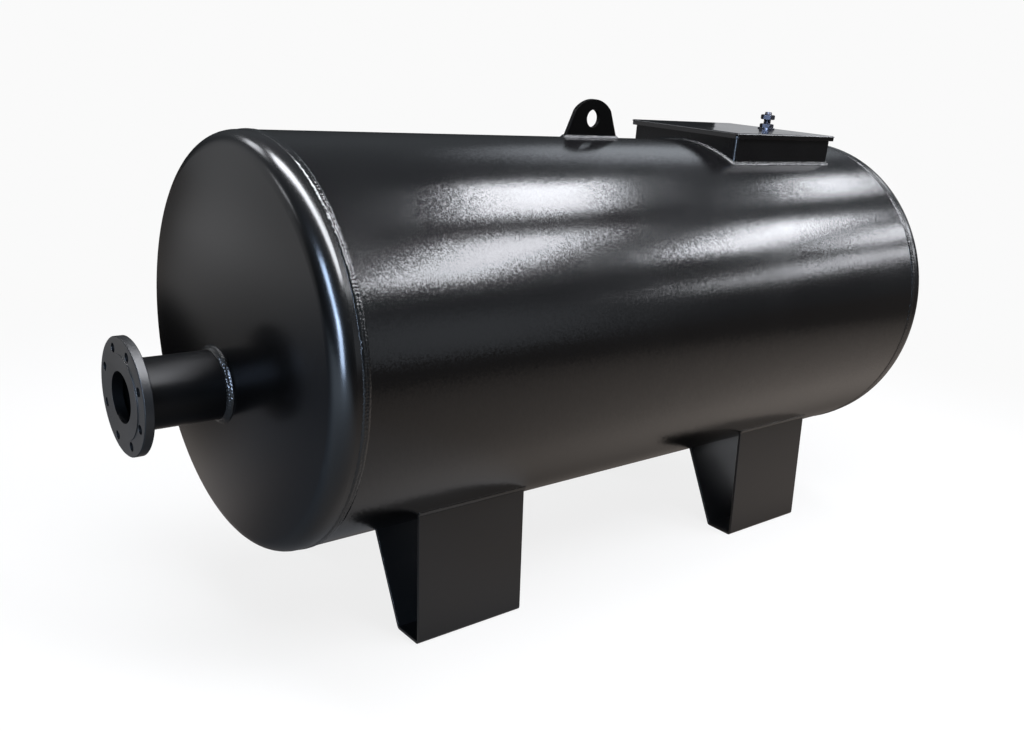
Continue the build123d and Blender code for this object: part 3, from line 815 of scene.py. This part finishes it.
def round_foot(u, half_x, half_y, leg, slant=0.0):
    """Walks round an upright rectangle's foot on the shell: toe on the plate, toe on the shell,
    root. It turns each corner on an arc."""
    corner_run = math.pi / 2 * leg
    runs = (2 * half_x, corner_run, 2 * half_y, corner_run) * 2
    left = (u % 1.0) * sum(runs)
    piece = 0
    while piece < len(runs) - 1 and left > runs[piece]:
        left -= runs[piece]
        piece += 1
    share = left / runs[piece]
    corners = ((half_x, -half_y), (half_x, half_y), (-half_x, half_y), (-half_x, -half_y))
    if piece % 2 == 0:
        normal = ((0, -1), (1, 0), (0, 1), (-1, 0))[piece // 2]
        start = corners[piece // 2 - 1]
        stop = corners[piece // 2]
        x = start[0] + share * (stop[0] - start[0])
        y = start[1] + share * (stop[1] - start[1])
    else:
        x, y = corners[piece // 2]
        angle = math.radians(-90 + 90 * (piece // 2)) + share * math.pi / 2
        normal = (math.cos(angle), math.sin(angle))
    toe_y = y + leg * normal[1]
    seat_z = AXIS_Z + math.sqrt(TANK_R**2 - y**2)
    toe_z = AXIS_Z + math.sqrt(TANK_R**2 - toe_y**2)
    pull = abs(normal[0]) * slant * leg
    return (
        (x - math.copysign(pull, x), y, seat_z + leg),
        (x + leg * normal[0], toe_y, toe_z),
        (x - FOOT_ROOT * normal[0], y - FOOT_ROOT * normal[1], seat_z - FOOT_ROOT),
    )


def lug_fillet(u):
    points = round_foot(u, LUG_HALF_L, LUG_HALF_T, LUG_FILLET_LEG, LUG_SLANT)
    return tuple((p[0] + lug_x, p[1], p[2]) for p in points)


lay_bead(
    "lug_bead",
    "lug_weld",
    [(lug_fillet, LUG_BEAD_L, True)],
    bulge_mm=1.1,
    ripple_mm=6.0,
    ripple_height_mm=1.7,
)

# Hatch coaming: four 6 mm plates, the end ones coped over the shell, with a fillet round the foot
# and the open corners filled by upright beads. A flat bar between the long plates carries the stud.

# Enamel on flat plate: even and darker than the shell, with its cut edges rounded.
hatch_enamel = enamel(
    "gloss_enamel_on_flat_plate",
    "#050506",
    roughness=0.28,
    grain_mm=4.0,
    grain_depth_mm=0.1,
    wave_mm=90.0,
    wave_depth_mm=0.3,
    edge_mm=0.8,
    shine=0.25,
)
dress(
    hatch_enamel,
    "hatch_wall_near",
    "hatch_wall_far",
    "hatch_wall_front",
    "hatch_wall_back",
    "hatch_crossbar",
)
COAMING_T = 0.006
COAMING_FILLET_LEG = 0.0062
CORNER_LEG = 0.0058
CORNER_ROOT = 0.001
front_low, front_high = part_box("hatch_wall_front")
near_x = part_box("hatch_wall_near")[0].x
far_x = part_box("hatch_wall_far")[1].x
hatch_x = (near_x + far_x) / 2
hatch_half_x = (far_x - near_x) / 2
hatch_half_y = -front_low.y


def coaming_fillet(u):
    points = round_foot(u, hatch_half_x, hatch_half_y, COAMING_FILLET_LEG)
    return tuple((p[0] + hatch_x, p[1], p[2]) for p in points)


def corner_fill(side_x, side_y):
    """Upright bead in one open corner of the coaming."""
    x = hatch_x + side_x * (hatch_half_x - COAMING_T)
    y = side_y * (hatch_half_y - COAMING_T)
    low_z = AXIS_Z + math.sqrt(TANK_R**2 - hatch_half_y**2)

    def track(u):
        z = low_z + u * (front_high.z - low_z)
        return (
            (x + side_x * CORNER_LEG, y, z),
            (x, y + side_y * CORNER_LEG, z),
            (x - side_x * CORNER_ROOT, y - side_y * CORNER_ROOT, z),
        )

    return track, front_high.z - low_z, False


lay_bead(
    "coaming_foot_bead",
    "hatch_shell_weld",
    [(coaming_fillet, 4 * (hatch_half_x + hatch_half_y), True)],
    bulge_mm=0.9,
    ripple_mm=6.0,
    ripple_height_mm=1.5,
)
lay_bead(
    "coaming_corner_beads",
    "hatch_corner_welds",
    [corner_fill(side_x, side_y) for side_x in (-1, 1) for side_y in (-1, 1)],
    bulge_mm=1.7,
    ripple_mm=5.0,
    ripple_height_mm=0.6,
)

# Lid: 3 mm sheet with its lip folded down all round and the corners notched. It lies on a strip of
# black rubber along the coaming's edge, and the stud's nuts clamp it.

# Enamel on folded sheet: the smoothest coat, so it mirrors the room almost sharply, in long waves.
lid_enamel = enamel(
    "gloss_enamel_on_folded_sheet",
    "#060607",
    roughness=0.1,
    grain_mm=5.0,
    grain_depth_mm=0.06,
    wave_mm=110.0,
    wave_depth_mm=1.2,
    edge_mm=1.0,
)
dress(lid_enamel, "hatch_lid")
# Extruded rubber strip: matt and a shade lighter than the paint, with no highlight.
rubber = enamel(
    "black_rubber_strip",
    "#0A0A0A",
    roughness=0.8,
    grain_mm=1.0,
    grain_depth_mm=0.05,
    wave_mm=30.0,
    wave_depth_mm=0.05,
)
dress(rubber, "hatch_gasket")

# Stud, washer and nuts: M20, rolled and forged steel, zinc plated. The stud stands in the crossbar
# and its thread runs from under the lid to just below its chamfered end.

# Dull zinc plate: a mid-grey metal with a faint blue cast and soft, broken highlights.
zinc = enamel(
    "dull_zinc_plate",
    "#55565E",
    roughness=0.33,
    grain_mm=2.0,
    grain_depth_mm=0.03,
    wave_mm=20.0,
    wave_depth_mm=0.05,
    edge_mm=0.5,
)
zinc.node_tree.nodes["Principled BSDF"].inputs["Metallic"].default_value = 1.0
dress(zinc, "lid_washer", "lid_locknut", "lid_nut")
STUD_CORE_R = 0.0086
STUD_CREST_R = 0.0099
STUD_ROUNDNESS = 32
STUD_CHAMFER = 0.0014
THREAD_PITCH = 0.0025
THREAD_ROOT_R = STUD_CORE_R - 0.0003  # sunk in the core, so that the two overlap
THREAD_HALF_W = THREAD_PITCH * 0.48
THREAD_SHORT = 0.0016  # bare length left at the stud's end
THREAD_STEPS = 24
SOFT_EDGE = math.radians(35)  # edges that turn less are shaded smooth
HAIR = 1e-5
stud_low, stud_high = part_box("lid_stud")
stud_x = (stud_low.x + stud_high.x) / 2
bpy.ops.object.select_all(action="DESELECT")
bpy.ops.mesh.primitive_cylinder_add(
    vertices=STUD_ROUNDNESS,
    radius=STUD_CORE_R,
    depth=stud_high.z - stud_low.z,
    location=(stud_x, 0, (stud_low.z + stud_high.z) / 2),
)
stud = bpy.context.object
stud.name = "threaded_stud"
bpy.ops.object.transform_apply(location=True, rotation=True, scale=True)
bpy.ops.object.mode_set(mode="EDIT")
bpy.ops.mesh.select_all(action="DESELECT")
shape = bmesh.from_edit_mesh(stud.data)
for edge in shape.edges:
    edge.select = all(v.co.z > stud_high.z - HAIR for v in edge.verts)
bmesh.update_edit_mesh(stud.data)
bpy.ops.mesh.bevel(offset=STUD_CHAMFER, segments=2)
bpy.ops.object.mode_set(mode="OBJECT")
thread_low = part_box("hatch_lid")[0].z
turns = int((stud_high.z - THREAD_SHORT - thread_low) / THREAD_PITCH) - 1
outline = bpy.data.meshes.new("thread")
outline.from_pydata(
    [(THREAD_ROOT_R, 0, -THREAD_HALF_W), (STUD_CREST_R, 0, 0), (THREAD_ROOT_R, 0, THREAD_HALF_W)],
    [(0, 1), (1, 2), (2, 0)],
    [],
)
thread = bpy.data.objects.new("thread", outline)
bpy.context.scene.collection.objects.link(thread)
bpy.ops.object.select_all(action="DESELECT")
thread.select_set(True)
bpy.context.view_layer.objects.active = thread
winding = thread.modifiers.new("winding", "SCREW")
winding.screw_offset = THREAD_PITCH
winding.iterations = turns
winding.steps = THREAD_STEPS
winding.render_steps = THREAD_STEPS
bpy.ops.object.modifier_apply(modifier="winding")
thread.data.transform(Matrix.Translation((stud_x, 0, thread_low + THREAD_PITCH)))
bpy.ops.object.mode_set(mode="EDIT")
bpy.ops.mesh.select_all(action="SELECT")
bpy.ops.mesh.remove_doubles(threshold=1e-6)
bpy.ops.mesh.select_all(action="DESELECT")
shape = bmesh.from_edit_mesh(thread.data)
for edge in shape.edges:
    edge.select = edge.is_boundary
bmesh.update_edit_mesh(thread.data)
bpy.ops.mesh.fill()
bpy.ops.mesh.select_all(action="SELECT")
bpy.ops.mesh.normals_make_consistent(inside=False)
bpy.ops.object.mode_set(mode="OBJECT")
stud.select_set(True)
bpy.context.view_layer.objects.active = stud
bpy.ops.object.join()
bpy.ops.object.shade_smooth_by_angle(angle=SOFT_EDGE)
stud.data.materials.clear()
stud.data.materials.append(zinc)
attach(stud, "root")
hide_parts("lid_stud")

# Legs: one 6 mm plate each, folded twice to an open channel and coped to the shell, with a fillet
# along the outer plate and one along the inner plate.

# Enamel in one thin coat on folded plate: duller than the shell, so the faces look almost even.
leg_enamel = enamel(
    "satin_enamel_on_folded_plate",
    "#0B0A0A",
    roughness=0.38,
    grain_mm=4.0,
    grain_depth_mm=0.12,
    wave_mm=160.0,
    wave_depth_mm=0.4,
    edge_mm=1.0,
)
dress(leg_enamel, "near_front_leg", "near_back_leg", "far_front_leg", "far_back_leg")
SPLAY = math.tan(math.radians(4.0))
LEAN = math.tan(math.radians(28.3))
OUTER_FOOT_Y = 0.288
INNER_FOOT_Y = 0.210
LEG_FILLET_LEG = 0.0068
LEG_FILLET_ROOT = 0.002
LEG_BEAD_OVERRUN = 0.002
FIRST_GUESS_Z = 0.2
GUESSES = 30


def meets_shell(foot_y, slope):
    """Y and Z where a leg plate leaning in from its foot meets the shell."""
    z = FIRST_GUESS_Z
    for _ in range(GUESSES):
        z = AXIS_Z - math.sqrt(TANK_R**2 - (foot_y - slope * z) ** 2)
    return foot_y - slope * z, z


def leg_run(low_x, high_x, side, foot_y, slope, outward):
    """Bead along one leg plate's top, on its outer or its inner side."""
    seat_y, seat_z = meets_shell(foot_y, slope)
    turn = math.asin(seat_y / TANK_R)
    toe = turn + outward * LEG_FILLET_LEG / TANK_R
    toe_y, toe_z = TANK_R * math.sin(toe), AXIS_Z - TANK_R * math.cos(toe)

    def track(u):
        x = low_x - LEG_BEAD_OVERRUN + u * (high_x - low_x + 2 * LEG_BEAD_OVERRUN)
        return (
            (x, side * (seat_y + slope * LEG_FILLET_LEG), seat_z - LEG_FILLET_LEG),
            (x, side * toe_y, toe_z),
            (x, side * (seat_y - outward * LEG_FILLET_ROOT), seat_z + LEG_FILLET_ROOT),
        )

    return track, high_x - low_x, False


for end in ("near", "far"):
    for side, word in ((-1, "front"), (1, "back")):
        low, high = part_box(f"{end}_{word}_leg")
        runs = [
            leg_run(low.x, high.x, side, OUTER_FOOT_Y, SPLAY, 1),
            leg_run(low.x, high.x, side, INNER_FOOT_Y, LEAN, -1),
        ]
        lay_bead(
            f"{end}_{word}_leg_beads",
            f"{end}_{word}_leg_welds",
            runs,
            bulge_mm=1.3,
            ripple_mm=6.0,
            ripple_height_mm=1.0,
        )
